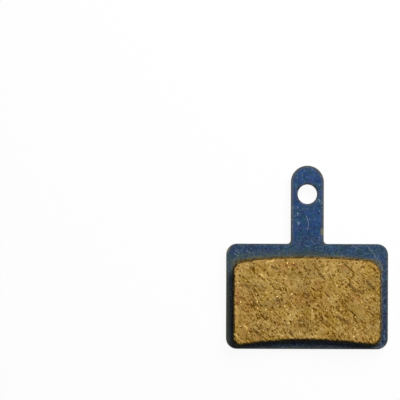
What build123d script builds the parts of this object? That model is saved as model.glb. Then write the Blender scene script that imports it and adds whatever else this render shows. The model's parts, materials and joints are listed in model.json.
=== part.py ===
from build123d import *
import os
from math import sqrt

# Bicycle disc brake pad: a blanked steel backing plate with a friction block moulded onto it.
# The compound is pressed through four holes in the plate, so that keys hold the block on.
# The pad lies on its back. The origin is the centre of the plate's body on its back face, where
# the caliper's piston pushes. +Y runs up the tab, and +Z points out of the friction face.
# All sizes are in millimetres and degrees.

# Backing plate
plate_width = 30.0          # between the two side edges that slide in the caliper
plate_height = 19.5         # of the body, without the tab
plate_thickness = 1.8
plate_corner_radius = 2.0
tab_width = 6.1             # the tab's end is a full round
tab_length = 14.5           # from the body's upper edge to the tab's end
tab_root_radius = 0.7
pin_hole_diameter = 3.6
pin_hole_from_end = 5.3     # from the hole's centre to the tab's end
die_roll = 0.35             # rounding that the blanking die leaves along the back's outer edge
edge_break = 0.12           # deburring along the front edges
hole_chamfer = 0.3          # around the holes on the back

# Keys of compound in the plate's four key holes
key_diameter = 4.2
key_inset_x = 5.4           # from a key's centre to the plate's side edge
key_inset_y = 5.25          # from a key's centre to the body's upper or lower edge
key_recess = 0.5            # from the plate's back face to a key's end
key_end_chamfer = 0.35

# Friction block, whose margins and corners are measured at its foot on the plate
block_thickness = 2.2
block_side_margin = 1.25
block_top_margin = 2.3      # at the middle of the outer arc
block_bottom_margin = 1.65  # at the middle of the inner arc
block_outer_radius = 113.0  # convex arc, towards the rim of the rotor
block_inner_radius = 77.0   # concave arc, towards the rotor's centre
block_outer_corner_radius = 2.1
block_worn_corner_radius = 3.0  # the outer right corner, which is worn rounder
block_inner_corner_radius = 1.5
block_draft = 8.0           # slope of the moulded walls
block_edge_radius = 0.18    # around the friction face

# Places that follow from the sizes above
body_top = plate_height / 2
body_bottom = -plate_height / 2
tab_end = body_top + tab_length
pin_hole_y = tab_end - pin_hole_from_end
key_places = GridLocations(plate_width - 2 * key_inset_x, plate_height - 2 * key_inset_y, 2, 2)


def sagitta(radius, half_chord):
    """Height of an arc over the middle of its chord."""
    return radius - sqrt(radius**2 - half_chord**2)


def round_corners(outline, corners, radius):
    """The outline with the vertex at each of these points rounded."""
    for corner in corners:
        vertex = outline.vertices().sort_by_distance(corner)[0]
        outline = fillet(vertex, radius)
    return outline


def make_backing_plate():
    """The blank, with its die roll, its holes and their chamfers."""
    tab_round = tab_width / 2
    tab_centre = (body_top + tab_end - tab_round) / 2
    outline = RectangleRounded(plate_width, plate_height, plate_corner_radius)
    outline += Pos(0, tab_centre) * Rectangle(tab_width, tab_length - tab_round)
    outline += Pos(0, tab_end - tab_round) * Circle(tab_round)
    roots = [(-tab_round, body_top), (tab_round, body_top)]
    outline = round_corners(outline, roots, tab_root_radius)

    plate = extrude(outline, plate_thickness)
    plate = fillet(plate.edges().group_by(Axis.Z)[0], die_roll)
    plate -= Pos(0, pin_hole_y) * extrude(Circle(pin_hole_diameter / 2), plate_thickness)
    plate = chamfer(plate.edges().group_by(Axis.Z)[-1], edge_break)
    plate -= key_places * extrude(Circle(key_diameter / 2), plate_thickness)
    hole_rims = plate.edges().group_by(Axis.Z)[0].filter_by(lambda edge: edge.is_closed)
    return chamfer(hole_rims, hole_chamfer)


def make_friction_pad():
    """The moulded block between two arcs, with its four keys."""
    side = plate_width / 2 - block_side_margin
    top = body_top - block_top_margin
    bottom = body_bottom + block_bottom_margin
    top_corner = top - sagitta(block_outer_radius, side)
    bottom_corner = bottom - sagitta(block_inner_radius, side)
    outer_left, outer_right = (-side, top_corner), (side, top_corner)
    inner_left, inner_right = (-side, bottom_corner), (side, bottom_corner)
    outline = make_face(
        ThreePointArc(outer_right, (0, top), outer_left)
        + Line(outer_left, inner_left)
        + ThreePointArc(inner_left, (0, bottom), inner_right)
        + Line(inner_right, outer_right)
    )
    outline = round_corners(outline, [inner_left, inner_right], block_inner_corner_radius)
    outline = round_corners(outline, [outer_left], block_outer_corner_radius)
    outline = round_corners(outline, [outer_right], block_worn_corner_radius)

    block = extrude(outline, block_thickness, taper=block_draft)
    block = fillet(block.edges().group_by(Axis.Z)[-1], block_edge_radius)
    key = extrude(Circle(key_diameter / 2), plate_thickness - key_recess)
    key = chamfer(key.edges().group_by(Axis.Z)[0], key_end_chamfer)
    pad = Pos(0, 0, plate_thickness) * block
    for place in key_places:
        pad += place * Pos(0, 0, key_recess) * key
    return pad


os.makedirs("parts", exist_ok=True)
export_step(make_backing_plate(), "parts/backing_plate.step")
export_step(make_friction_pad(), "parts/friction_pad.step")
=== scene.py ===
import json
from math import cos, pi, radians, sin

import bmesh
import bpy
from mathutils import Euler, Matrix, Vector


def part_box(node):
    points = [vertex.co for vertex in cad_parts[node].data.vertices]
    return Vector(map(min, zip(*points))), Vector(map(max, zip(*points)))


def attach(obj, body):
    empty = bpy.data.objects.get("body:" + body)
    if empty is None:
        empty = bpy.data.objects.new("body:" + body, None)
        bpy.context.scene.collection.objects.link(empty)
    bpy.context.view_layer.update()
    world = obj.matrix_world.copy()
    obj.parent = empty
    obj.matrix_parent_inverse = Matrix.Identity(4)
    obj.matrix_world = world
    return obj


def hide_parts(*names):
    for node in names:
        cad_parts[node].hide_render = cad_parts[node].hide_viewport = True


# A bicycle disc brake pad, lying on its back and seen from straight above.
# The frame is in metres. Sizes here are in millimetres, and MM turns them into metres.
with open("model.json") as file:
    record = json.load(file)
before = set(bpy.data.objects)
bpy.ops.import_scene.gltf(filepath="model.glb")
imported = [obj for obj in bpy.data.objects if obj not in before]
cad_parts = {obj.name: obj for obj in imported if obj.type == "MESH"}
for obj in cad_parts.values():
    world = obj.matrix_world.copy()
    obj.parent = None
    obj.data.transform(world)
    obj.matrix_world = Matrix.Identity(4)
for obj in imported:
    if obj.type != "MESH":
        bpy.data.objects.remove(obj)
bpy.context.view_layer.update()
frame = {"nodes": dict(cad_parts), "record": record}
MM = 0.001

# Backing plate
# A blanked steel plate with a tab for the caliper's pin, deburred and powder coated blue.
# The frame's solid stays. Handling has rubbed, chipped and scratched the coat, and dust of the compound
# lies on it around the block.
plate = frame["nodes"]["backing_plate"]
plate_low, plate_high = (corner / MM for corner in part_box("backing_plate"))
body_half = Vector((plate_high.x, -plate_low.y, 0))
body_corner_radius = 2.0
tab_radius = 3.05
tab_round_centre = Vector((0, plate_high.y - tab_radius, 0))
pin_hole = next(m for m in frame["record"]["mounts"] if m["name"] == "retaining_pin_hole")
pin_hole_centre = Vector((pin_hole["pos_m"][0] / MM, pin_hole["pos_m"][1] / MM, 0))
pin_hole_radius = pin_hole["dims"]["r_mm"]

# The block's foot on the plate: two arcs and two straight sides
block_low, block_high = (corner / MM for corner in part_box("friction_pad"))
block_outer_radius = 113.0
block_inner_radius = 77.0
block_bottom_margin = 1.65
block_corner_blend = 2.5
outer_arc_centre = Vector((0, block_high.y - block_outer_radius, 0))
inner_arc_centre = Vector((0, plate_low.y + block_bottom_margin - block_inner_radius, 0))

# The mix node's colour sockets, which share their names with its other kinds of socket
MIX_A, MIX_B, MIX_RESULT = 6, 7, 2

# Marks on the coat, each as start, end and width
hair_scratches = [
    ((-0.2, 14.9), (0.15, 14.1), 0.10),
    ((0.15, 14.1), (0.2, 13.3), 0.09),
    ((0.2, 13.3), (0.0, 12.4), 0.08),
    ((8.4, 9.3), (9.7, 8.9), 0.07),
    ((11.2, 9.3), (12.6, 7.6), 0.09),
    ((12.9, 7.3), (14.1, 4.9), 0.08),
    ((12.7, 6.8), (13.6, 5.3), 0.06),
    ((13.4, 4.9), (14.1, 2.8), 0.07),
    ((-13.6, 8.0), (-12.7, 7.5), 0.09),
    ((-13.2, 8.4), (-12.6, 8.05), 0.08),
    ((-11.3, 8.4), (-10.4, 8.0), 0.09),
]
coat_nicks = [
    ((-1.77, 16.6), (-1.77, 16.4), 0.14),
    ((-1.76, 15.4), (-1.74, 15.1), 0.15),
    ((-1.69, 13.8), (-1.62, 13.3), 0.16),
    ((2.15, 18.0), (2.3, 17.6), 0.14),
]
coat_chips = [
    ((-14.83, 8.15), (-14.37, 9.07), 0.24),
    ((-2.95, 16.4), (-2.75, 16.4), 0.14),
    ((2.75, 12.3), (2.85, 11.6), 0.42),
]
# A darker band across the middle, just above the block
dark_band_above_block = [((-2.6, 8.0), (2.8, 8.0), 0.6)]
# Painted shade along the pin hole's upper rim, where its chamfer faces away from the lamp
hole_rim_shade = [
    ((1.8, 19.8), (1.4, 20.4), 0.36),
    ((1.4, 20.4), (1.1, 20.65), 0.3),
    ((0.5, 20.95), (-0.5, 20.97), 0.16),
    ((-1.4, 20.4), (-1.75, 19.98), 0.3),
]

# The coat's patterns, each as the size of what repeats, with the grain's depth and the rub's raggedness.
# The grain, the scuffs and the hair scratches are drawn a little coarser than real, so that they show
coat_grain = 0.2
coat_grain_depth = 0.02
coat_mottle = 0.7
coat_tint = 1.1
pinhole_size = 0.3
rub_grain = 0.5
rub_ragged = 0.35
foot_crumb = 0.35
wipe_length = 1.6
wipe_width = 0.5
dust_patch = 1.2

# Scuffs, each as its cell and its width, what bends them, as the size of its noise and how far that moves
# them, and specks, each as its cell and the widest share of it
scuff_sizes = [(0.6, 0.08), (0.85, 0.09), (1.6, 0.11), (2.3, 0.12)]
scuff_bend = (2.0, 0.2)
speck_sizes = [(0.3, 0.45), (0.45, 0.42), (0.85, 0.22)]

# Where wear, film, dust, painted contact shade and painted fill light lie on the coat, each from where it
# starts to where it is full
edge_break = (0.2, 0.1)
hole_rub = (0.6, 0.1)
edge_rub = (-0.5, 0.15)
edge_worn = (-0.1, 0.2)
handled_ends = (9.2, 10.4)
low_on_body = (6.0, 1.0)
left_rim = (-14.0, -15.0)
left_border = (-12.5, -14.5)
right_border = (12.6, 14.2)
bottom_border = (-8.0, -9.5)
body_dust = (body_half.y + 2, body_half.y - 6)
film_band = (0.45, 0.05)
foot_shade_band = (0.35, 0.0)
filmed_side = (21.5, 19.5)
haze_rise = (5.0, 9.0)

# The height where the edges are rubbed least, and that least share
handled_middle = 0.6
least_rub = 0.25

# How fast the dust thickens, how the haze leans to the left, and its least and greatest reach
body_dust_power = 0.45
haze_lean = -0.15
haze_reach = (0.1, 1.6)


def linear(hex_colour):
    """An sRGB hex colour as linear red, green, blue and alpha."""
    parts = [int(hex_colour[i : i + 2], 16) / 255 for i in (0, 2, 4)]
    return [p / 12.92 if p <= 0.04045 else ((p + 0.055) / 1.055) ** 2.4 for p in parts] + [1]


def add(tree, kind, inputs=None, out=0, **settings):
    """Adds a node with its settings, gives its inputs values or links, and returns one of its outputs."""
    node = tree.nodes.new(kind)
    for name, value in settings.items():
        setattr(node, name, value)
    for key, value in (inputs or {}).items():
        if isinstance(value, bpy.types.NodeSocket):
            tree.links.new(value, node.inputs[key])
        else:
            node.inputs[key].default_value = value
    return node.outputs[out] if node.outputs else node


def new_material(name):
    """An empty node material and its tree."""
    material = bpy.data.materials.new(name)
    material.use_nodes = True
    material.node_tree.nodes.clear()
    return material, material.node_tree


def shaken(tree, spot, size, reach):
    """The place moved by noise of this size, so that what is drawn on it is ragged."""
    noise = add(tree, "ShaderNodeTexNoise", {"Vector": spot, "Scale": 1 / size}, out="Color")
    noise = add(tree, "ShaderNodeVectorMath", {0: noise, 1: (0.5, 0.5, 0.5)}, operation="SUBTRACT")
    return add(
        tree,
        "ShaderNodeVectorMath",
        {0: noise, 1: (reach, reach, reach), 2: spot},
        operation="MULTIPLY_ADD",
    )


def marks(tree, spot, lines):
    """How strongly lines, each a start, an end and a width, mark a place: 1 along a line, 0 beside it."""
    flat = add(tree, "ShaderNodeVectorMath", {0: spot, 1: (1, 1, 0)}, operation="MULTIPLY")
    strength = 0.0
    for start, end, width in lines:
        begin = Vector((*start, 0))
        run = Vector((*end, 0)) - begin
        along = run / run.length_squared
        away = add(tree, "ShaderNodeVectorMath", {0: flat, 1: begin}, operation="SUBTRACT")
        share = add(
            tree, "ShaderNodeVectorMath", {0: away, 1: along}, out="Value", operation="DOT_PRODUCT"
        )
        share = add(tree, "ShaderNodeClamp", {"Value": share})
        foot = add(tree, "ShaderNodeVectorMath", {0: run, "Scale": share}, operation="SCALE")
        gap = add(tree, "ShaderNodeVectorMath", {0: away, 1: foot}, out="Value", operation="DISTANCE")
        mark = add(tree, "ShaderNodeMapRange", {"Value": gap, "From Min": width, "From Max": width / 3})
        strength = add(tree, "ShaderNodeMath", {0: strength, 1: mark}, operation="MAXIMUM")
    return strength


def layered(tree, colour, layers):
    """The colour with layers over it, each a mask, a hex colour and a strength."""
    for mask, hex_colour, strength in layers:
        share = add(tree, "ShaderNodeMath", {0: mask, 1: strength}, operation="MULTIPLY")
        colour = add(
            tree,
            "ShaderNodeMix",
            {0: share, MIX_A: colour, MIX_B: linear(hex_colour)},
            out=MIX_RESULT,
            data_type="RGBA",
        )
    return colour


def gap_to_foot(tree, flat):
    """How far a flat place lies from the block's foot on the plate, negative under the block."""
    outer = add(
        tree, "ShaderNodeVectorMath", {0: flat, 1: outer_arc_centre}, out="Value", operation="DISTANCE"
    )
    outer = add(tree, "ShaderNodeMath", {0: outer, 1: block_outer_radius}, operation="SUBTRACT")
    inner = add(
        tree, "ShaderNodeVectorMath", {0: flat, 1: inner_arc_centre}, out="Value", operation="DISTANCE"
    )
    inner = add(tree, "ShaderNodeMath", {0: block_inner_radius, 1: inner}, operation="SUBTRACT")
    across = add(tree, "ShaderNodeSeparateXYZ", {0: flat}, out="X")
    side = add(tree, "ShaderNodeMath", {0: across}, operation="ABSOLUTE")
    side = add(tree, "ShaderNodeMath", {0: side, 1: block_high.x}, operation="SUBTRACT")
    ends = add(tree, "ShaderNodeMath", {0: outer, 1: inner}, operation="MAXIMUM")
    return add(tree, "ShaderNodeMath", {0: ends, 1: side, 2: block_corner_blend}, operation="SMOOTH_MAX")


def powder_coat():
    """Blue powder coat: satin and finely grained, rubbed at its edges, scratched, specked and dusty, with
    painted shade and painted fill light.
    """
    material, tree = new_material("blue_powder_coat")
    place = add(tree, "ShaderNodeTexCoord", out="Object")
    spot = add(tree, "ShaderNodeVectorMath", {0: place, "Scale": 1 / MM}, operation="SCALE")
    flat = add(tree, "ShaderNodeVectorMath", {0: spot, 1: (1, 1, 0)}, operation="MULTIPLY")
    across = add(tree, "ShaderNodeSeparateXYZ", {0: spot}, out="X")
    up = across.node.outputs["Y"]
    height = across.node.outputs["Z"]
    middle = plate_high.z / 2
    front = add(
        tree, "ShaderNodeMapRange", {"Value": height, "From Min": middle, "From Max": plate_high.z}
    )
    away = add(tree, "ShaderNodeMath", {0: height, 1: middle}, operation="SUBTRACT")
    away = add(tree, "ShaderNodeMath", {0: away}, operation="ABSOLUTE")
    outside = add(tree, "ShaderNodeMapRange", {"Value": away, "From Min": middle / 2, "From Max": middle})
    faces = add(
        tree,
        "ShaderNodeMapRange",
        {"Value": away, "From Min": middle - edge_break[0], "From Max": middle - edge_break[1]},
    )

    # Distance to the painted outline, negative inside it, and a ring round the pin hole
    corner = body_half - Vector((body_corner_radius, body_corner_radius, 0))
    past = add(tree, "ShaderNodeVectorMath", {0: flat}, operation="ABSOLUTE")
    past = add(tree, "ShaderNodeVectorMath", {0: past, 1: corner}, operation="SUBTRACT")
    past = add(tree, "ShaderNodeVectorMath", {0: past, 1: (0, 0, 0)}, operation="MAXIMUM")
    body = add(tree, "ShaderNodeVectorMath", {0: past}, out="Value", operation="LENGTH")
    body = add(tree, "ShaderNodeMath", {0: body, 1: body_corner_radius}, operation="SUBTRACT")
    spine = add(tree, "ShaderNodeVectorMath", {0: flat, 1: tab_round_centre}, operation="MINIMUM")
    spine = add(tree, "ShaderNodeVectorMath", {0: spine, 1: (0, 0, 0)}, operation="MAXIMUM")
    tab = add(tree, "ShaderNodeVectorMath", {0: flat, 1: spine}, out="Value", operation="DISTANCE")
    tab = add(tree, "ShaderNodeMath", {0: tab, 1: tab_radius}, operation="SUBTRACT")
    outline = add(tree, "ShaderNodeMath", {0: body, 1: tab}, operation="MINIMUM")
    hole = add(
        tree, "ShaderNodeVectorMath", {0: flat, 1: pin_hole_centre}, out="Value", operation="DISTANCE"
    )
    hole = add(tree, "ShaderNodeMath", {0: hole, 1: pin_hole_radius}, operation="SUBTRACT")
    bore = add(
        tree, "ShaderNodeMapRange", {"Value": hole, "From Min": hole_rub[0], "From Max": hole_rub[1]}
    )

    # Edges rubbed pale, most on the tab and the lower edge, and worn through at the rim, most on the left
    rub = add(
        tree, "ShaderNodeTexNoise", {"Vector": spot, "Scale": 1 / rub_grain, "Detail": 3}, out="Fac"
    )
    rub = add(tree, "ShaderNodeMath", {0: rub, 1: rub_ragged, 2: outline}, operation="MULTIPLY_ADD")
    pale = add(
        tree, "ShaderNodeMapRange", {"Value": rub, "From Min": edge_rub[0], "From Max": edge_rub[1]}
    )
    pale = add(tree, "ShaderNodeMath", {0: pale, 1: outside}, operation="MULTIPLY")
    touched = add(tree, "ShaderNodeMath", {0: up, 1: handled_middle}, operation="SUBTRACT")
    touched = add(tree, "ShaderNodeMath", {0: touched}, operation="ABSOLUTE")
    touched = add(
        tree,
        "ShaderNodeMapRange",
        {"Value": touched, "From Min": handled_ends[0], "From Max": handled_ends[1], "To Min": least_rub},
    )
    pale = add(tree, "ShaderNodeMath", {0: pale, 1: touched}, operation="MULTIPLY")
    lower = add(
        tree, "ShaderNodeMapRange", {"Value": up, "From Min": low_on_body[0], "From Max": low_on_body[1]}
    )
    handled = add(
        tree, "ShaderNodeMapRange", {"Value": across, "From Min": left_rim[0], "From Max": left_rim[1]}
    )
    rub = add(tree, "ShaderNodeMath", {0: handled, 1: lower, 2: rub}, operation="MULTIPLY_ADD")
    worn = add(
        tree, "ShaderNodeMapRange", {"Value": rub, "From Min": edge_worn[0], "From Max": edge_worn[1]}
    )
    worn = add(tree, "ShaderNodeMath", {0: worn, 1: front}, operation="MULTIPLY")

    # Resin film, dark crumbs and painted contact shade at the block's foot, and haze in streaks along its
    # upper edge, most of it on the left. The lower right corner has no film
    gap = add(tree, "ShaderNodeMath", {0: gap_to_foot(tree, flat), 1: 0}, operation="MAXIMUM")
    along = add(tree, "ShaderNodeMath", {0: across, 1: up}, operation="ADD")
    wiped = add(tree, "ShaderNodeCombineXYZ", {0: along, 1: gap})
    wiped = add(
        tree,
        "ShaderNodeVectorMath",
        {0: wiped, 1: (1 / wipe_length, 1 / wipe_width, 1)},
        operation="MULTIPLY",
    )
    ragged = add(tree, "ShaderNodeTexNoise", {"Vector": wiped, "Scale": 1, "Detail": 4}, out="Fac")
    ragged = add(
        tree, "ShaderNodeMapRange", {"Value": ragged, "From Min": 0.38, "From Max": 0.62, "To Min": 0.25}
    )
    ragged = add(tree, "ShaderNodeMath", {0: ragged, 1: front}, operation="MULTIPLY")
    film = add(
        tree, "ShaderNodeMapRange", {"Value": gap, "From Min": film_band[0], "From Max": film_band[1]}
    )
    film = add(tree, "ShaderNodeMath", {0: film, 1: ragged}, operation="MULTIPLY")
    clean = add(tree, "ShaderNodeMath", {0: across, 1: up}, operation="SUBTRACT")
    clean = add(
        tree,
        "ShaderNodeMapRange",
        {"Value": clean, "From Min": filmed_side[0], "From Max": filmed_side[1]},
    )
    film = add(tree, "ShaderNodeMath", {0: film, 1: clean}, operation="MULTIPLY")
    # Dark crumbs, and painted contact shade where the block meets the plate
    crumbs = add(
        tree, "ShaderNodeTexNoise", {"Vector": spot, "Scale": 1 / foot_crumb, "Detail": 3}, out="Fac"
    )
    crumbs = add(tree, "ShaderNodeMapRange", {"Value": crumbs, "From Min": 0.46, "From Max": 0.56})
    foot_crumbs_and_shade = add(
        tree, "ShaderNodeMapRange", {"Value": gap, "From Min": foot_shade_band[0], "From Max": foot_shade_band[1]}
    )
    foot_crumbs_and_shade = add(tree, "ShaderNodeMath", {0: foot_crumbs_and_shade, 1: crumbs}, operation="MULTIPLY")
    foot_crumbs_and_shade = add(tree, "ShaderNodeMath", {0: foot_crumbs_and_shade, 1: front}, operation="MULTIPLY")
    leaning = add(tree, "ShaderNodeMath", {0: across, 1: haze_lean, 2: up}, operation="MULTIPLY_ADD")
    reach = {
        "Value": leaning,
        "From Min": haze_rise[0],
        "From Max": haze_rise[1],
        "To Min": haze_reach[0],
        "To Max": haze_reach[1],
    }
    reach = add(tree, "ShaderNodeMapRange", reach)
    haze = add(tree, "ShaderNodeMapRange", {"Value": gap, "From Min": reach, "From Max": 0})
    haze = add(tree, "ShaderNodeMath", {0: haze, 1: ragged}, operation="MULTIPLY")

    # Dust over the whole body, which thins out upwards and along the tab, dark blue low on the right, with
    # dark pinholes in the coat. An olive tint low on the left and a paler layer at the bottom lighten the
    # block's shadow: painted fill light
    cover = add(
        tree, "ShaderNodeMapRange", {"Value": up, "From Min": body_dust[0], "From Max": body_dust[1]}
    )
    cover = add(tree, "ShaderNodeMath", {0: cover, 1: body_dust_power}, operation="POWER")
    patchy = add(
        tree, "ShaderNodeTexNoise", {"Vector": spot, "Scale": 1 / dust_patch, "Detail": 4}, out="Fac"
    )
    patchy = add(
        tree,
        "ShaderNodeMapRange",
        {"Value": patchy, "From Min": 0.3, "From Max": 0.7, "To Min": 0.35, "To Max": 1.25},
    )
    dust = add(tree, "ShaderNodeMath", {0: cover, 1: patchy}, operation="MULTIPLY")
    dust = add(tree, "ShaderNodeMath", {0: dust, 1: front}, operation="MULTIPLY")
    # An olive tint low on the left border, in the block's shadow, lightens it there: painted fill light
    left = add(
        tree,
        "ShaderNodeMapRange",
        {"Value": across, "From Min": left_border[0], "From Max": left_border[1]},
    )
    left = add(tree, "ShaderNodeMath", {0: left, 1: dust}, operation="MULTIPLY")
    left = add(tree, "ShaderNodeMath", {0: left, 1: lower}, operation="MULTIPLY")
    # A paler layer along the bottom border, in the block's shadow, lightens it there: painted fill light
    bottom = add(
        tree,
        "ShaderNodeMapRange",
        {"Value": up, "From Min": bottom_border[0], "From Max": bottom_border[1]},
    )
    bottom = add(tree, "ShaderNodeMath", {0: bottom, 1: dust}, operation="MULTIPLY")
    right = add(
        tree,
        "ShaderNodeMapRange",
        {"Value": across, "From Min": right_border[0], "From Max": right_border[1]},
    )
    right = add(tree, "ShaderNodeMath", {0: right, 1: dust}, operation="MULTIPLY")
    right = add(tree, "ShaderNodeMath", {0: right, 1: lower}, operation="MULTIPLY")
    pinholes = add(tree, "ShaderNodeTexNoise", {"Vector": spot, "Scale": 1 / pinhole_size}, out="Fac")
    pinholes = add(tree, "ShaderNodeMapRange", {"Value": pinholes, "From Min": 0.48, "From Max": 0.62})
    pinholes = add(tree, "ShaderNodeMath", {0: pinholes, 1: cover}, operation="MULTIPLY")

    # Dark band, painted shade at the pin hole, scratches, nicks and chips on the front, each ragged by noise
    # of a size and a reach
    front_marks = []
    for lines, size, reach, hex_colour, strength in (
        (dark_band_above_block, 1.2, 0.3, "2C3638", 0.4),
        (hole_rim_shade, 0.4, 0.15, "1C2630", 0.75),
        (hair_scratches, 1.2, 0.3, "9CABB0", 0.38),
        (coat_nicks, 0.25, 0.15, "98A8C0", 0.52),
        (coat_chips, 0.25, 0.25, "7A7A5C", 0.8),
    ):
        mark = marks(tree, shaken(tree, spot, size, reach), lines)
        mark = add(tree, "ShaderNodeMath", {0: mark, 1: front}, operation="MULTIPLY")
        front_marks.append((mark, hex_colour, strength))

    # Hairline scuffs, one in some of the cells, each turned its own way, and fainter on the tab
    scuffs = 0.0
    for cell, wide in scuff_sizes:
        bent = shaken(tree, spot, *scuff_bend)
        cells = add(tree, "ShaderNodeVectorMath", {0: bent, "Scale": 1 / cell}, operation="SCALE")
        centre = add(tree, "ShaderNodeTexVoronoi", {"Vector": cells, "Scale": 1}, out="Position")
        chance = add(tree, "ShaderNodeSeparateColor", {"Color": centre.node.outputs["Color"]}, out="Red")
        turn = add(tree, "ShaderNodeMath", {0: chance.node.outputs["Green"], 1: pi}, operation="MULTIPLY")
        run = add(tree, "ShaderNodeVectorMath", {0: cells, 1: centre}, operation="SUBTRACT")
        run = add(tree, "ShaderNodeVectorRotate", {"Vector": run, "Angle": turn}, rotation_type="Z_AXIS")
        run = add(tree, "ShaderNodeVectorMath", {0: run}, operation="ABSOLUTE")
        along = add(tree, "ShaderNodeSeparateXYZ", {0: run}, out="X")
        scuff = add(
            tree,
            "ShaderNodeMapRange",
            {"Value": along.node.outputs["Y"], "From Min": wide / cell, "From Max": wide / cell / 3},
        )
        end = add(tree, "ShaderNodeMapRange", {"Value": along, "From Min": 0.5, "From Max": 0.1})
        scuff = add(tree, "ShaderNodeMath", {0: scuff, 1: end}, operation="MULTIPLY")
        scuff = add(tree, "ShaderNodeMath", {0: scuff, 1: chance}, operation="MULTIPLY")
        scuffs = add(tree, "ShaderNodeMath", {0: scuffs, 1: scuff}, operation="MAXIMUM")
    scuffs = add(tree, "ShaderNodeMath", {0: scuffs, 1: faces}, operation="MULTIPLY")
    shown = add(tree, "ShaderNodeMapRange", {"Value": cover, "To Min": 0.3})
    scuffs = add(tree, "ShaderNodeMath", {0: scuffs, 1: shown}, operation="MULTIPLY")

    # Pale specks of three sizes, one in some of the cells, fainter on the body and on the back
    specks = 0.0
    for cell, widest in speck_sizes:
        rough_edged = shaken(tree, spot, cell / 3, cell / 2)
        cells = add(
            tree, "ShaderNodeTexVoronoi", {"Vector": rough_edged, "Scale": 1 / cell}, out="Distance"
        )
        chance = add(tree, "ShaderNodeSeparateColor", {"Color": cells.node.outputs["Color"]}, out="Red")
        size = add(tree, "ShaderNodeMapRange", {"Value": chance, "From Min": 0.45, "To Max": widest})
        speck = add(tree, "ShaderNodeMath", {0: size, 1: cells}, operation="SUBTRACT")
        speck = add(tree, "ShaderNodeMapRange", {"Value": speck, "From Max": 0.2})
        specks = add(tree, "ShaderNodeMath", {0: specks, 1: speck}, operation="MAXIMUM")
    shown = add(tree, "ShaderNodeMapRange", {"Value": front, "To Min": 0.4})
    specks = add(tree, "ShaderNodeMath", {0: specks, 1: shown}, operation="MULTIPLY")
    shown = add(tree, "ShaderNodeMapRange", {"Value": cover, "To Min": 1, "To Max": 0.65})
    specks = add(tree, "ShaderNodeMath", {0: specks, 1: shown}, operation="MULTIPLY")

    # The coat's own mottle and grain, greener and more violet in places, then the layers over it
    tints = []
    for hex_colour, shift, strength in (("1A5650", 5, 0.4), ("3C3A70", 13, 0.3)):
        moved = add(tree, "ShaderNodeVectorMath", {0: spot, 1: (shift, shift, 0)}, operation="ADD")
        tint = add(
            tree, "ShaderNodeTexNoise", {"Vector": moved, "Scale": 1 / coat_tint, "Detail": 3}, out="Fac"
        )
        tint = add(tree, "ShaderNodeMapRange", {"Value": tint, "From Min": 0.48, "From Max": 0.68})
        tints.append((tint, hex_colour, strength))
    mottle = add(
        tree, "ShaderNodeTexNoise", {"Vector": spot, "Scale": 1 / coat_mottle, "Detail": 4}, out="Fac"
    )
    grain = add(tree, "ShaderNodeTexNoise", {"Vector": spot, "Scale": 1 / coat_grain}, out="Fac")
    blues = add(tree, "ShaderNodeMath", {0: mottle, 1: grain}, operation="ADD")
    blues = add(tree, "ShaderNodeMapRange", {"Value": blues, "From Min": 0.75, "From Max": 1.25})
    colour = add(
        tree,
        "ShaderNodeMix",
        {0: blues, MIX_A: linear("0D2B50"), MIX_B: linear("1D4A85")},
        out=MIX_RESULT,
        data_type="RGBA",
    )
    colour = layered(
        tree,
        colour,
        [(dust, "2B383A", 0.7)]
        + tints
        + [
            (left, "464A2E", 0.6),
            (bottom, "585A62", 0.5),
            (right, "182046", 0.85),
            (pinholes, "0C1830", 0.85),
            (pale, "74684A", 0.5),
            (bore, "555042", 0.5),
            (specks, "8698A8", 0.52),
            (scuffs, "6C92AA", 0.55),
            (haze, "566240", 0.85),
            (film, "706850", 0.85),
            (foot_crumbs_and_shade, "1E180C", 0.75),
            (worn, "4A4E36", 0.85),
        ]
        + front_marks,
    )

    bump = add(
        tree, "ShaderNodeBump", {"Height": grain, "Distance": coat_grain_depth * MM, "Strength": 0.5}
    )
    rough = add(tree, "ShaderNodeMapRange", {"Value": mottle, "To Min": 0.38, "To Max": 0.5})
    coat = add(
        tree,
        "ShaderNodeBsdfPrincipled",
        {"Base Color": colour, "Roughness": rough, "IOR": 1.5, "Specular IOR Level": 0.3, "Normal": bump},
    )
    add(tree, "ShaderNodeOutputMaterial", {"Surface": coat})
    return material


plate.data.materials.clear()
plate.data.materials.append(powder_coat())

# Friction block
# Resin-bonded compound with brass and graphite in it, moulded hot onto the plate and then ground flat.
# Grinding left slanting strokes and pulled grains out of the face. The walls keep their darker moulded skin.
stroke_angle = radians(-50)
block_voxel = 0.09
plate_top = plate_high.z
seat_depth = 0.05
seat_passes = 6
seat_smallest_face = 1e-5
skin_top = 3.0
skin_foot = 0.3
rim_foot = 3.6
rim_gap = -0.34
rim_width = 0.4
burr_side = (-0.53, -0.85, 0)
key_wall_foot = 0.9
seat_facing = -0.9
weld_distance = 0.001

# The compound's patterns, each as the size of what repeats in it, with the stretch of the drag lines and
# the depth of the grit
rim_crumb = 0.28
burr_size = 0.7
lump_size = 0.7
drag_size = 0.5
drag_stretch = 0.2
patch_size = 2.8
grit_size = 0.1
grit_depth = 0.03

# How ragged pits, gouges and smears are, each as the size of its noise and how far that moves them
pit_ragged = (0.25, 0.4)
gouge_ragged = (0.5, 0.08)
smear_ragged = (0.5, 0.5)

# Beds of pits, each as its turn from the strokes, its scale, the share of its cells without a pit,
# and its widest pit
pit_beds = [
    (0, 1.0, 0.3, 0.46),
    (radians(75), 0.8, 0.5, 0.44),
    (0, 2.8, 0.55, 0.3),
]

# Grains, strokes and slow changes in the mix, each as length, width and weight
grain_sizes = [(0.13, 0.08, 0.5), (0.34, 0.16, 1.05), (0.8, 0.36, 0.35)]
drift_sizes = [(2.4, 0.16, 1.35), (3.6, 2.6, 1.25)]

# Where the rim of the face is painted lighter as a painted highlight, each from where it starts to where it
# is full
rim_highlight_band = (-1.8, -0.8)
left_rim_highlight_band = (-11.5, -12.8)

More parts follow.
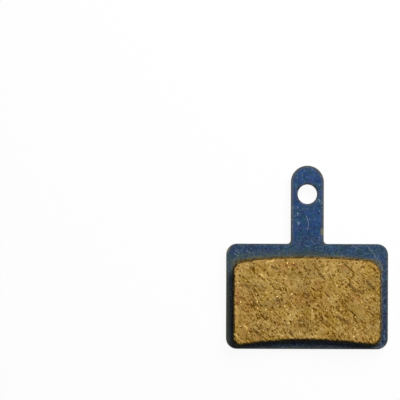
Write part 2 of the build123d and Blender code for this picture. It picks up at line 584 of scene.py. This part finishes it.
# How the painted highlight on the rim leans to the left, and the height along that lean where it is full
rim_lean = -0.85
rim_light = 7.0

# Worn corners of the face, each as its middle, the way it is worn and how far the wear reaches
worn_corners = [
    ((-12.0, 7.0), (0.29, -0.96), 2.8),
    ((12.7, -8.6), (-0.5, 0.72), 2.1),
]

# Marks on the ground face, each as start, end and width
gouges = [
    ((6.4, 6.4), (8.4, 4.6), 0.16),
    ((7.6, -2.3), (9.1, -3.7), 0.15),
    ((2.3, -4.3), (4.0, -5.7), 0.15),
    ((2.1, 4.2), (3.1, 3.2), 0.14),
    ((3.2, 0.8), (4.1, -0.1), 0.15),
    ((-7.0, 2.3), (-6.1, 1.6), 0.15),
    ((-6.2, 1.4), (-4.4, 1.2), 0.13),
    ((5.3, -2.0), (6.4, -3.2), 0.12),
    ((-9.6, -5.2), (-8.7, -6.1), 0.13),
]
graphite_smears = [
    ((7.7, 2.3), (8.8, 1.1), 0.45),
    ((8.8, 1.4), (10.2, 0.6), 0.40),
    ((10.8, 3.0), (12.4, 1.4), 0.50),
    ((5.7, -3.7), (7.4, -4.8), 0.45),
    ((-5.6, -0.6), (-5.3, -1.0), 0.55),
    ((-0.3, 0.5), (-0.1, 0.1), 0.55),
    ((-1.3, -4.5), (-0.7, -5.2), 0.60),
    ((-11.6, 2.2), (-10.9, 1.7), 0.45),
    ((-6.6, 5.6), (-5.6, 5.1), 0.35),
    ((-10.3, -0.6), (-9.3, -1.5), 0.35),
    ((-9.5, -6.3), (-9.1, -6.8), 0.45),
    ((-3.2, -6.6), (-2.8, -7.0), 0.45),
]
# Brass smears, with bright painted glints among them
brass_smears_and_glints = [
    ((-8.7, 4.1), (-8.2, 3.7), 0.35),
    ((-7.4, 6.5), (-6.3, 6.6), 0.30),
    ((4.7, 5.2), (4.9, 5.0), 0.20),
    ((1.6, -1.3), (1.8, -1.4), 0.16),
    ((-13.1, -7.2), (-12.9, -7.4), 0.25),
    ((-11.6, -5.4), (-11.2, -5.9), 0.30),
    ((-1.2, -4.7), (-1.0, -4.8), 0.16),
]
rust_stains = [
    ((-12.8, 1.2), (-12.7, -1.3), 0.60),
    ((-3.8, 6.0), (-2.2, 5.9), 0.50),
    ((6.2, 5.7), (6.9, 5.3), 0.50),
]


def frame_copy(node_name):
    """A copy of a solid's mesh in millimetres, with its loose triangles joined."""
    shell = bmesh.new()
    shell.from_mesh(frame["nodes"][node_name].data)
    bmesh.ops.remove_doubles(shell, verts=shell.verts, dist=weld_distance * MM)
    shell.transform(Matrix.Scale(1 / MM, 4))
    mesh = bpy.data.meshes.new(node_name + "_copy")
    shell.to_mesh(mesh)
    shell.free()
    return mesh


def new_object(name, mesh):
    """An object at the origin with this mesh."""
    made = bpy.data.objects.new(name, mesh)
    bpy.context.scene.collection.objects.link(made)
    return made


def settle(made):
    """Turns the object's modifiers into a plain mesh."""
    graph = bpy.context.evaluated_depsgraph_get()
    mesh = bpy.data.meshes.new_from_object(made.evaluated_get(graph))
    made.modifiers.clear()
    made.data = mesh
    return made


def new_geometry_tree(name, sizes):
    """A geometry tree with a mesh input, a number input for each size, and its input node."""
    tree = bpy.data.node_groups.new(name, "GeometryNodeTree")
    tree.interface.new_socket("Mesh", in_out="INPUT", socket_type="NodeSocketGeometry")
    tree.interface.new_socket("Mesh", in_out="OUTPUT", socket_type="NodeSocketGeometry")
    for size in sizes:
        tree.interface.new_socket(size, in_out="INPUT", socket_type="NodeSocketFloat")
    return tree, tree.nodes.new("NodeGroupInput")


def grow(made, tree, sizes):
    """Runs a geometry tree on the object with these sizes, and keeps the result as its mesh."""
    modifier = made.modifiers.new(tree.name, "NODES")
    modifier.node_group = tree
    for socket in tree.interface.items_tree:
        if socket.name in sizes:
            modifier[socket.identifier] = sizes[socket.name]
    return settle(made)


def ground_face(sizes, material):
    """Tree that grinds strokes, pits and gouges into the face, wears its rim and roughens the skin."""
    tree, given = new_geometry_tree("ground_face", sizes)
    size = given.outputs
    place = add(tree, "GeometryNodeInputPosition")
    normal = add(tree, "GeometryNodeInputNormal")
    height = add(tree, "ShaderNodeSeparateXYZ", {0: place}, out="Z")
    facing = add(tree, "ShaderNodeSeparateXYZ", {0: normal}, out="Z")
    upper = add(tree, "ShaderNodeMath", {0: height, 1: skin_top}, operation="GREATER_THAN")
    ground = add(tree, "ShaderNodeMapRange", {"Value": facing, "From Min": 0.65, "From Max": 0.92})
    ground = add(tree, "ShaderNodeMath", {0: ground, 1: upper}, operation="MULTIPLY")

    # Strokes run along X once the place is turned
    turned = add(
        tree, "ShaderNodeVectorRotate", {"Vector": place, "Angle": -stroke_angle}, rotation_type="Z_AXIS"
    )
    stretch = add(
        tree, "ShaderNodeCombineXYZ", {0: size["Stroke Length"], 1: size["Stroke Width"], 2: 1.0}
    )
    lanes = add(tree, "ShaderNodeVectorMath", {0: turned, 1: stretch}, operation="DIVIDE")
    stroke = add(tree, "ShaderNodeTexNoise", {"Vector": lanes, "Scale": 1}, out="Fac")
    groove = add(tree, "ShaderNodeMath", {0: stroke, 1: 0.5}, operation="SUBTRACT")
    groove = add(tree, "ShaderNodeMath", {0: groove}, operation="ABSOLUTE")
    groove = add(tree, "ShaderNodeMapRange", {"Value": groove, "From Min": 0.05, "From Max": 0.0})

    # Pits where grains were pulled out, along the strokes, across them and large, one in some of the cells
    broken = shaken(tree, place, *pit_ragged)
    pit = 0.0
    for turn, scale, empty_share, widest in pit_beds:
        beds = add(
            tree,
            "ShaderNodeVectorRotate",
            {"Vector": broken, "Angle": turn - stroke_angle},
            rotation_type="Z_AXIS",
        )
        stretch = add(tree, "ShaderNodeCombineXYZ", {0: size["Pit Length"], 1: size["Pit Width"], 2: 1.0})
        stretch = add(tree, "ShaderNodeVectorMath", {0: stretch, "Scale": scale}, operation="SCALE")
        beds = add(tree, "ShaderNodeVectorMath", {0: beds, 1: stretch}, operation="DIVIDE")
        bed = add(tree, "ShaderNodeTexVoronoi", {"Vector": beds, "Scale": 1}, out="Distance")
        chance = add(tree, "ShaderNodeSeparateXYZ", {0: bed.node.outputs["Color"]}, out="X")
        reach = add(
            tree, "ShaderNodeMapRange", {"Value": chance, "From Min": empty_share, "To Max": widest}
        )
        hollow = add(tree, "ShaderNodeMath", {0: reach, 1: bed}, operation="SUBTRACT")
        hollow = add(tree, "ShaderNodeMapRange", {"Value": hollow, "From Max": 0.13})
        pit = add(tree, "ShaderNodeMath", {0: pit, 1: hollow}, operation="MAXIMUM")
    pit = add(tree, "ShaderNodeMath", {0: pit, 1: ground}, operation="MULTIPLY")
    gouge = marks(tree, shaken(tree, place, *gouge_ragged), gouges)
    gouge = add(tree, "ShaderNodeMath", {0: gouge, 1: ground}, operation="MULTIPLY")

    # Crumbs broken off the rim of the face, fewer the further in
    flat = add(tree, "ShaderNodeVectorMath", {0: place, 1: (1, 1, 0)}, operation="MULTIPLY")
    inward = {"Value": gap_to_foot(tree, flat), "From Min": rim_gap - rim_width, "From Max": rim_gap}
    rim = add(tree, "ShaderNodeMapRange", inward)
    crumb = add(tree, "ShaderNodeTexNoise", {"Vector": place, "Scale": 1 / rim_crumb}, out="Fac")
    crumb = add(tree, "ShaderNodeMath", {0: crumb, 1: 2.2, 2: rim}, operation="MULTIPLY_ADD")
    crumb = add(tree, "ShaderNodeMapRange", {"Value": crumb, "From Min": 2.05, "From Max": 2.35})
    upward = add(
        tree, "ShaderNodeMapRange", {"Value": height, "From Min": skin_top, "From Max": rim_foot}
    )
    crumb = add(tree, "ShaderNodeMath", {0: crumb, 1: upward}, operation="MULTIPLY")

    # Burrs of ground compound that hang over the walls, most of them on the left and at the bottom
    burr = add(
        tree, "ShaderNodeTexNoise", {"Vector": place, "Scale": 1 / burr_size, "Detail": 3}, out="Fac"
    )
    burr = add(tree, "ShaderNodeMapRange", {"Value": burr, "From Min": 0.43, "From Max": 0.57})
    burr = add(tree, "ShaderNodeMath", {0: burr, 1: upward}, operation="MULTIPLY")
    side = add(
        tree, "ShaderNodeVectorMath", {0: normal, 1: burr_side}, out="Value", operation="DOT_PRODUCT"
    )
    side = add(
        tree, "ShaderNodeMapRange", {"Value": side, "From Min": -0.3, "From Max": 0.3, "To Min": 0.3}
    )
    burr = add(tree, "ShaderNodeMath", {0: burr, 1: side}, operation="MULTIPLY")
    edge = add(tree, "ShaderNodeMapRange", {"Value": facing, "From Min": 0.1, "From Max": 0.5})
    edge = add(tree, "ShaderNodeMath", {0: edge, 1: burr}, operation="MULTIPLY")
    edge = add(tree, "ShaderNodeMath", {0: edge, 1: ground}, operation="MAXIMUM")

    # Depths under the face, and lumps on the skin
    low = add(tree, "ShaderNodeMath", {0: stroke, 1: size["Stroke Depth"]}, operation="MULTIPLY")
    for dent, name in ((groove, "Groove Depth"), (pit, "Pit Depth"), (gouge, "Gouge Depth")):
        low = add(tree, "ShaderNodeMath", {0: dent, 1: size[name], 2: low}, operation="MULTIPLY_ADD")
    low = add(tree, "ShaderNodeMath", {0: low, 1: ground}, operation="MULTIPLY")
    sink = add(tree, "ShaderNodeVectorMath", {0: (0, 0, -1), "Scale": low}, operation="SCALE")
    lump = add(
        tree, "ShaderNodeTexNoise", {"Vector": place, "Scale": 1 / lump_size, "Detail": 3}, out="Fac"
    )
    lump = add(tree, "ShaderNodeMapRange", {"Value": lump, "From Min": 0.35, "From Max": 0.75})
    wall = add(
        tree,
        "ShaderNodeMapRange",
        {"Value": height, "From Min": plate_top, "From Max": plate_top + skin_foot},
    )
    key = add(
        tree, "ShaderNodeMapRange", {"Value": height, "From Min": key_wall_foot, "From Max": block_low.z}
    )
    skin = add(tree, "ShaderNodeMath", {0: wall, 1: key}, operation="ADD")
    skin = add(tree, "ShaderNodeMath", {0: skin, 1: ground}, operation="SUBTRACT")
    lump = add(tree, "ShaderNodeMath", {0: lump, 1: skin}, operation="MULTIPLY")
    lump = add(tree, "ShaderNodeMath", {0: lump, 1: size["Skin Depth"]}, operation="MULTIPLY")
    lump = add(
        tree, "ShaderNodeMath", {0: crumb, 1: size["Crumb Depth"], 2: lump}, operation="MULTIPLY_ADD"
    )
    shrink = add(tree, "ShaderNodeVectorMath", {0: normal, "Scale": lump}, operation="SCALE")
    offset = add(tree, "ShaderNodeVectorMath", {0: sink, 1: shrink}, operation="SUBTRACT")
    outward = add(tree, "ShaderNodeVectorMath", {0: normal, 1: (1, 1, 0)}, operation="MULTIPLY")
    burr = add(tree, "ShaderNodeMath", {0: burr, 1: size["Burr Height"]}, operation="MULTIPLY")
    outward = add(tree, "ShaderNodeVectorMath", {0: outward, "Scale": burr}, operation="SCALE")
    offset = add(tree, "ShaderNodeVectorMath", {0: offset, 1: outward}, operation="ADD")

    # Two corners are worn inwards, less and less down to the foot
    risen = add(
        tree, "ShaderNodeMapRange", {"Value": height, "From Min": plate_top, "From Max": skin_top}
    )
    risen = add(tree, "ShaderNodeMath", {0: risen, 1: size["Corner Wear"]}, operation="MULTIPLY")
    for corner, way, reach in worn_corners:
        worn = add(
            tree, "ShaderNodeVectorMath", {0: flat, 1: (*corner, 0)}, out="Value", operation="DISTANCE"
        )
        worn = add(
            tree,
            "ShaderNodeMapRange",
            {"Value": worn, "From Min": reach, "From Max": 0},
            interpolation_type="SMOOTHSTEP",
        )
        worn = add(tree, "ShaderNodeMath", {0: worn, 1: risen}, operation="MULTIPLY")
        worn = add(tree, "ShaderNodeVectorMath", {0: (*way, 0), "Scale": worn}, operation="SCALE")
        offset = add(tree, "ShaderNodeVectorMath", {0: offset, 1: worn}, operation="ADD")

    mesh = size["Mesh"]
    kept = {"ground": edge, "groove": groove, "pit": pit, "gouge": gouge, "crumb": crumb}
    for name, value in kept.items():
        mesh = add(
            tree, "GeometryNodeStoreNamedAttribute", {"Geometry": mesh, "Name": name, "Value": value}
        )
    mesh = add(tree, "GeometryNodeSetPosition", {"Geometry": mesh, "Offset": offset})
    mesh = add(tree, "GeometryNodeSetMaterial", {"Geometry": mesh, "Material": material})
    add(tree, "NodeGroupOutput", {"Mesh": mesh})
    return tree


def ground_compound():
    """Ground friction compound: matt grains in tan resin, with painted shade in its pits and dents, and a
    darker moulded skin.
    """
    material, tree = new_material("ground_compound")
    place = add(tree, "ShaderNodeTexCoord", out="Object")
    spot = add(tree, "ShaderNodeVectorMath", {0: place, "Scale": 1 / MM}, operation="SCALE")
    flat = add(tree, "ShaderNodeVectorMath", {0: spot, 1: (1, 1, 0)}, operation="MULTIPLY")
    turned = add(
        tree, "ShaderNodeVectorRotate", {"Vector": spot, "Angle": -stroke_angle}, rotation_type="Z_AXIS"
    )
    pit = add(tree, "ShaderNodeAttribute", out="Fac", attribute_name="pit")
    gouge = add(tree, "ShaderNodeAttribute", out="Fac", attribute_name="gouge")
    groove = add(tree, "ShaderNodeAttribute", out="Fac", attribute_name="groove")
    crumb = add(tree, "ShaderNodeAttribute", out="Fac", attribute_name="crumb")
    ground = add(tree, "ShaderNodeAttribute", out="Fac", attribute_name="ground")
    bare = add(tree, "ShaderNodeMath", {0: 1, 1: ground}, operation="SUBTRACT")

    # The rim is painted lighter along the top and the left, a painted highlight, and the skin has drag lines
    # from the mould
    across = add(tree, "ShaderNodeSeparateXYZ", {0: spot}, out="X")
    leaning = add(
        tree,
        "ShaderNodeMath",
        {0: across, 1: rim_lean, 2: across.node.outputs["Y"]},
        operation="MULTIPLY_ADD",
    )
    leaning = add(tree, "ShaderNodeMapRange", {"Value": leaning, "From Max": rim_light})
    inward = {"Value": gap_to_foot(tree, flat), "From Min": rim_highlight_band[0], "From Max": rim_highlight_band[1]}
    rim = add(tree, "ShaderNodeMapRange", inward)
    rim = add(tree, "ShaderNodeMath", {0: rim, 1: leaning}, operation="MULTIPLY")
    rim = add(tree, "ShaderNodeMath", {0: rim, 1: ground}, operation="MULTIPLY")
    left_rim_highlight = add(
        tree,
        "ShaderNodeMapRange",
        {"Value": across, "From Min": left_rim_highlight_band[0], "From Max": left_rim_highlight_band[1]},
    )
    left_rim_highlight = add(tree, "ShaderNodeMath", {0: left_rim_highlight, 1: rim}, operation="MULTIPLY")
    drawn = add(tree, "ShaderNodeVectorMath", {0: spot, 1: (1, 1, drag_stretch)}, operation="MULTIPLY")
    drag = add(
        tree,
        "ShaderNodeTexNoise",
        {"Vector": drawn, "Scale": 1 / drag_size, "Detail": 4, "Roughness": 0.6},
        out="Fac",
    )
    dark = add(tree, "ShaderNodeMapRange", {"Value": drag, "From Min": 0.5, "From Max": 0.65})
    dark = add(tree, "ShaderNodeMath", {0: dark, 1: bare}, operation="MULTIPLY")
    fair = add(tree, "ShaderNodeMapRange", {"Value": drag, "From Min": 0.5, "From Max": 0.35})
    fair = add(tree, "ShaderNodeMath", {0: fair, 1: bare}, operation="MULTIPLY")

    # Brightness of the grains, the strokes and slow changes in the mix
    tone = 0.75
    for long, wide, weight in grain_sizes:
        broken = shaken(tree, turned, wide / 2, wide)
        cells = add(
            tree,
            "ShaderNodeVectorMath",
            {0: broken, 1: (1 / long, 1 / wide, 1 / wide)},
            operation="MULTIPLY",
        )
        grain = add(tree, "ShaderNodeTexVoronoi", {"Vector": cells, "Scale": 1}, out="Color")
        grain = add(tree, "ShaderNodeSeparateColor", {"Color": grain}, out="Red")
        grain = add(tree, "ShaderNodeMath", {0: grain, 1: 0.5}, operation="SUBTRACT")
        tone = add(tree, "ShaderNodeMath", {0: grain, 1: weight, 2: tone}, operation="MULTIPLY_ADD")
    for long, wide, weight in drift_sizes:
        lanes = add(
            tree,
            "ShaderNodeVectorMath",
            {0: turned, 1: (1 / long, 1 / wide, 1 / wide)},
            operation="MULTIPLY",
        )
        drift = add(tree, "ShaderNodeTexNoise", {"Vector": lanes, "Scale": 1}, out="Fac")
        drift = add(tree, "ShaderNodeMath", {0: drift, 1: 0.5}, operation="SUBTRACT")
        tone = add(tree, "ShaderNodeMath", {0: drift, 1: weight, 2: tone}, operation="MULTIPLY_ADD")
    colour = add(tree, "ShaderNodeValToRGB", {"Fac": tone}, out="Color")
    stops = [
        (0.0, "523000"),
        (0.15, "784E00"),
        (0.3, "90640E"),
        (0.5, "A48036"),
        (0.7, "B39045"),
        (0.85, "BC984E"),
    ]
    bar = colour.node.color_ramp
    bar.elements[1].position = 1.0
    bar.elements[1].color = linear("D2B06A")
    bar.elements[0].color = linear(stops[0][1])
    for position, hex_colour in stops[1:]:
        bar.elements.new(position).color = linear(hex_colour)

    # The painted highlight on the rim, patches where the mix has more of one thing, then the smears, painted
    # glints and stains
    patches = [(rim, "D4B06C", 0.42), (left_rim_highlight, "D8AC60", 0.4)]
    for hex_colour, shift, strength in (("AE7440", 11, 0.45), ("8A7744", 23, 0.45), ("B8922E", 37, 0.45)):
        moved = add(tree, "ShaderNodeVectorMath", {0: spot, 1: (shift, shift, 0)}, operation="ADD")
        patch = add(
            tree, "ShaderNodeTexNoise", {"Vector": moved, "Scale": 1 / patch_size, "Detail": 3}, out="Fac"
        )
        patch = add(tree, "ShaderNodeMapRange", {"Value": patch, "From Min": 0.5, "From Max": 0.68})
        patch = add(tree, "ShaderNodeMath", {0: patch, 1: tone}, operation="MULTIPLY", use_clamp=True)
        patches.append((patch, hex_colour, strength))
    ragged = shaken(tree, spot, *smear_ragged)
    for lines, hex_colour, strength in (
        (graphite_smears, "6A4E24", 0.75),
        (brass_smears_and_glints, "F6CE78", 0.9),
        (rust_stains, "A66E38", 0.6),
    ):
        mark = add(
            tree, "ShaderNodeMath", {0: marks(tree, ragged, lines), 1: ground}, operation="MULTIPLY"
        )
        patches.append((mark, hex_colour, strength))
    # Pits, gouges, grooves and broken crumbs are painted darker: painted shade in those hollows
    hollow_shade = [(groove, "6E4800", 0.35), (pit, "683E00", 0.92), (gouge, "684400", 1.0), (crumb, "5E4416", 0.5)]
    skin = [(bare, "3E3016", 0.8), (dark, "241A0A", 0.65), (fair, "988252", 0.65)]
    colour = layered(tree, colour, patches + hollow_shade + skin)
    grit = add(tree, "ShaderNodeTexNoise", {"Vector": spot, "Scale": 1 / grit_size}, out="Fac")
    grit = add(tree, "ShaderNodeMath", {0: grit, 1: tone}, operation="ADD")
    bump = add(tree, "ShaderNodeBump", {"Height": grit, "Distance": grit_depth * MM, "Strength": 0.6})
    surface = add(
        tree,
        "ShaderNodeBsdfPrincipled",
        {"Base Color": colour, "Roughness": 0.85, "IOR": 1.5, "Specular IOR Level": 0.02, "Normal": bump},
    )
    add(tree, "ShaderNodeOutputMaterial", {"Surface": surface})
    return material


def join_seat(mesh):
    """Joins the small faces on the plate into large ones, none without area, and beds them in the coat."""
    shell = bmesh.new()
    shell.from_mesh(mesh)
    lowest = plate_top - block_voxel
    seat = [f for f in shell.faces if f.normal.z < seat_facing and f.calc_center_median().z > lowest]
    inside = set(seat)
    rims = [e for f in seat for e in f.edges if not inside.issuperset(e.link_faces)]
    bmesh.ops.delete(shell, geom=seat, context="FACES")
    bmesh.ops.triangle_fill(shell, use_beauty=True, edges=rims, normal=(0, 0, -1))
    for edge in rims:
        for vertex in edge.verts:
            vertex.co.z = plate_top - seat_depth
    for _ in range(seat_passes):
        for face in [f for f in shell.faces if f.calc_area() < seat_smallest_face]:
            if face.is_valid:
                bmesh.utils.edge_rotate(max(face.edges, key=bmesh.types.BMEdge.calc_length))
    shell.to_mesh(mesh)
    shell.free()


block = new_object("friction_block", frame_copy("friction_pad"))
remesh = block.modifiers.new("even_mesh", "REMESH")
remesh.mode = "VOXEL"
remesh.voxel_size = block_voxel
settle(block)
join_seat(block.data)
block_sizes = {
    "Stroke Length": 2.4,
    "Stroke Width": 0.16,
    "Stroke Depth": 0.03,
    "Groove Depth": 0.05,
    "Pit Length": 0.85,
    "Pit Width": 0.36,
    "Pit Depth": 0.14,
    "Gouge Depth": 0.1,
    "Skin Depth": 0.14,
    "Crumb Depth": 0.25,
    "Burr Height": 0.2,
    "Corner Wear": 0.26,
}
grow(block, ground_face(block_sizes, ground_compound()), block_sizes)
ground_mesh = block.data.copy()
block.data.transform(Matrix.Scale(MM, 4))
for face in block.data.polygons:
    face.use_smooth = True
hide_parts("friction_pad")
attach(block, "root")

# Brass chips
# Short brass turnings, mixed into the compound to carry the heat away from the face.
# Grinding cut those at the face flat, so they lie flush in it, and the ones that tilt to the light glint.
chip_seed = 4
chip_tilt = radians(24)
chip_spread = radians(40)
chip_sink = 0.015
chip_below_face = 0.005
chip_top = block_high.z - chip_below_face
chip_smallest = 0.4
chip_largest = 1.2
sound_share = 0.9
brass_scratch_length = 0.6
brass_scratch_width = 0.03
tarnish_size = 1.2


def ground_brass():
    """Ground brass: pale yellow metal with fine scratches along the strokes, so it shines across them."""
    material, tree = new_material("ground_brass")
    place = add(tree, "ShaderNodeTexCoord", out="Object")
    spot = add(tree, "ShaderNodeVectorMath", {0: place, "Scale": 1 / MM}, operation="SCALE")
    turned = add(
        tree, "ShaderNodeVectorRotate", {"Vector": spot, "Angle": -stroke_angle}, rotation_type="Z_AXIS"
    )
    lanes = add(
        tree,
        "ShaderNodeVectorMath",
        {0: turned, 1: (1 / brass_scratch_length, 1 / brass_scratch_width, 1)},
        operation="MULTIPLY",
    )
    scratch = add(tree, "ShaderNodeTexNoise", {"Vector": lanes, "Scale": 1}, out="Fac")
    tarnish = add(tree, "ShaderNodeTexNoise", {"Vector": spot, "Scale": 1 / tarnish_size}, out="Fac")
    tarnish = add(tree, "ShaderNodeMapRange", {"Value": tarnish, "From Min": 0.35, "From Max": 0.65})
    colour = add(
        tree,
        "ShaderNodeMix",
        {0: tarnish, MIX_A: linear("F0D48C"), MIX_B: linear("DAAF62")},
        out=MIX_RESULT,
        data_type="RGBA",
    )
    rough = add(tree, "ShaderNodeMapRange", {"Value": scratch, "To Min": 0.35, "To Max": 0.6})
    shine = stroke_angle + pi / 2
    shine = add(tree, "ShaderNodeCombineXYZ", {0: cos(shine), 1: sin(shine)})
    metal = add(
        tree,
        "ShaderNodeBsdfPrincipled",
        {"Base Color": colour, "Metallic": 1, "Roughness": rough, "Anisotropic": 0.85, "Tangent": shine},
    )
    add(tree, "ShaderNodeOutputMaterial", {"Surface": metal})
    return material


def set_chips(sizes, material):
    """Tree that sets flat chips into the sound parts of the ground face, most of them along the strokes."""
    tree, given = new_geometry_tree("set_chips", sizes)
    size = given.outputs
    ground = add(tree, "GeometryNodeInputNamedAttribute", {"Name": "ground"}, data_type="FLOAT")
    pit = add(tree, "GeometryNodeInputNamedAttribute", {"Name": "pit"}, data_type="FLOAT")
    crumb = add(tree, "GeometryNodeInputNamedAttribute", {"Name": "crumb"}, data_type="FLOAT")
    sound = add(tree, "ShaderNodeMath", {0: ground, 1: pit}, operation="SUBTRACT")
    sound = add(tree, "ShaderNodeMath", {0: sound, 1: crumb}, operation="SUBTRACT")
    sound = add(tree, "ShaderNodeMath", {0: sound, 1: sound_share}, operation="GREATER_THAN")
    places = add(
        tree,
        "GeometryNodeDistributePointsOnFaces",
        {
            "Mesh": size["Mesh"],
            "Distance Min": size["Chip Spacing"],
            "Density Max": size["Chips per Square Millimetre"],
            "Density Factor": sound,
            "Seed": chip_seed,
        },
        distribute_method="POISSON",
    )
    places = add(tree, "GeometryNodeSetPosition", {"Geometry": places, "Offset": (0, 0, -chip_sink)})

    chip = add(tree, "GeometryNodeMeshIcoSphere")
    jag = add(tree, "ShaderNodeTexNoise", {"Scale": 1.5, "Detail": 1}, out="Color")
    jag = add(tree, "ShaderNodeVectorMath", {0: jag, 1: (0.5, 0.5, 0.5)}, operation="SUBTRACT")
    chip = add(tree, "GeometryNodeSetPosition", {"Geometry": chip, "Offset": jag})
    half = add(
        tree,
        "ShaderNodeCombineXYZ",
        {0: size["Chip Length"], 1: size["Chip Width"], 2: size["Chip Thickness"]},
    )
    half = add(tree, "ShaderNodeVectorMath", {0: half, "Scale": 0.5}, operation="SCALE")
    chip = add(tree, "GeometryNodeTransform", {"Geometry": chip, "Scale": half})

    turn = add(
        tree,
        "FunctionNodeRandomValue",
        {
            0: (-chip_tilt, -chip_tilt, stroke_angle - chip_spread),
            1: (chip_tilt, chip_tilt, stroke_angle + chip_spread),
            "Seed": chip_seed,
        },
        data_type="FLOAT_VECTOR",
    )
    turn = add(tree, "FunctionNodeEulerToRotation", {0: turn})
    share = add(
        tree,
        "FunctionNodeRandomValue",
        {2: chip_smallest, 3: chip_largest, "Seed": chip_seed + 1},
        out=1,
        data_type="FLOAT",
    )
    chips = add(
        tree,
        "GeometryNodeInstanceOnPoints",
        {"Points": places, "Instance": chip, "Rotation": turn, "Scale": share},
    )
    chips = add(tree, "GeometryNodeRealizeInstances", {"Geometry": chips})
    place = add(tree, "GeometryNodeInputPosition")
    cut = add(
        tree,
        "ShaderNodeVectorMath",
        {0: place, 1: (block_high.x, block_high.y, chip_top)},
        operation="MINIMUM",
    )
    chips = add(tree, "GeometryNodeSetPosition", {"Geometry": chips, "Position": cut})
    chips = add(tree, "GeometryNodeSetMaterial", {"Geometry": chips, "Material": material})
    add(tree, "NodeGroupOutput", {"Mesh": chips})
    return tree


chips = new_object("brass_chips", ground_mesh)
chip_sizes = {
    "Chip Length": 0.42,
    "Chip Width": 0.24,
    "Chip Thickness": 0.12,
    "Chip Spacing": 0.4,
    "Chips per Square Millimetre": 0.6,
}
grow(chips, set_chips(chip_sizes, ground_brass()), chip_sizes)
chips.data.transform(Matrix.Scale(MM, 4))
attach(chips, "root")

# Floor
# A sweep of white paper, flat under the pad and curving up far around it.
# It looks nearly white, and keeps a faint shadow.
floor_flat_radius = 600.0
floor_rim_radius = 1000.0
floor_rim_height = 250.0
floor_segments = 96
rim_steps = 12
floor_gap = 0.01

sweep = bmesh.new()
profile = []
for step in range(rim_steps + 1):
    share = step / rim_steps
    radius = floor_flat_radius + (floor_rim_radius - floor_flat_radius) * share
    profile.append((radius, floor_rim_height * share**2))
rings = []
for radius, height in profile:
    ring = []
    for i in range(floor_segments):
        turn = radians(360 * i / floor_segments)
        place = Vector((radius * cos(turn), radius * sin(turn), height - floor_gap))
        ring.append(sweep.verts.new(place * MM))
    rings.append(ring)
sweep.faces.new(rings[0])
for inner, outer in zip(rings, rings[1:]):
    for i in range(floor_segments):
        j = (i + 1) % floor_segments
        sweep.faces.new((inner[i], outer[i], outer[j], inner[j]))
bmesh.ops.recalc_face_normals(sweep, faces=sweep.faces)
floor_mesh = bpy.data.meshes.new("floor")
sweep.to_mesh(floor_mesh)
sweep.free()
floor = new_object("floor", floor_mesh)

# Matt paper. Seen directly or in a reflection it is mostly an even white, so shadows on it stay faint
floor_white_share = 0.94
paper, tree = new_material("white_paper")
matt = add(tree, "ShaderNodeBsdfDiffuse", {"Color": linear("FAFAFA")})
glow = add(tree, "ShaderNodeEmission")
path = add(tree, "ShaderNodeLightPath", out="Is Camera Ray")
seen = add(tree, "ShaderNodeMath", {0: path, 1: path.node.outputs["Is Glossy Ray"]}, operation="MAXIMUM")
seen = add(
    tree, "ShaderNodeMath", {0: seen, 1: path.node.outputs["Is Transmission Ray"]}, operation="MAXIMUM"
)
white = add(tree, "ShaderNodeMath", {0: seen, 1: floor_white_share}, operation="MULTIPLY")
mixed = add(tree, "ShaderNodeMixShader", {0: white, 1: matt, 2: glow})
add(tree, "ShaderNodeOutputMaterial", {"Surface": mixed})
floor_mesh.materials.append(paper)

# Light
# A large soft lamp stands over the pad's upper right, so the block shades the plate to its left and below.
# An even pale surround fills the shadows.
key_turn = radians(58)
key_rise = radians(46)
key_distance = 300.0
key_size = 200.0
key_share = 0.84
fill_share = 0.16

world = bpy.data.worlds.new("studio")
world.use_nodes = True
world.node_tree.nodes.clear()
surround = add(world.node_tree, "ShaderNodeBackground", {"Strength": fill_share})
add(world.node_tree, "ShaderNodeOutputWorld", {"Surface": surround})
bpy.context.scene.world = world

lamp = bpy.data.lights.new("key", "AREA")
lamp.shape = "DISK"
lamp.size = key_size * MM
lamp.energy = key_share * pi**2 * (key_distance * MM) ** 2 / sin(key_rise)
key_way = Vector((cos(key_turn) * cos(key_rise), sin(key_turn) * cos(key_rise), sin(key_rise)))
key_place = key_way * key_distance
key = bpy.data.objects.new("key", lamp)
key.location = key_place * MM
key.rotation_mode = "QUATERNION"
key.rotation_quaternion = (-key_place).to_track_quat("-Z", "Y")
bpy.context.scene.collection.objects.link(key)

# Camera
# It stands over the middle of the photograph, so the pad lies at its place and scale in the frame.
# Its long lens sees the walls of the plate and the block nearly edge on.
photo_width_px = 400
plate_width_px = 161.9
body_centre_px = (307.08, 296.5)
camera_roll = radians(0.2)
lens = 400.0
sensor = 36.0

mm_per_px = 2 * body_half.x / plate_width_px
half_px = photo_width_px / 2
middle = Vector((half_px - body_centre_px[0], body_centre_px[1] - half_px, 0)) * mm_per_px
middle.rotate(Euler((0, 0, camera_roll)))
reach = photo_width_px * mm_per_px * lens / sensor
camera_data = bpy.data.cameras.new("camera")
camera_data.lens = lens
camera_data.sensor_width = sensor
camera = bpy.data.objects.new("camera", camera_data)
camera.location = (middle + Vector((0, 0, plate_high.z + reach))) * MM
camera.rotation_euler.z = camera_roll
bpy.context.scene.collection.objects.link(camera)
bpy.context.scene.camera = camera
bpy.context.scene.view_settings.view_transform = "Standard"
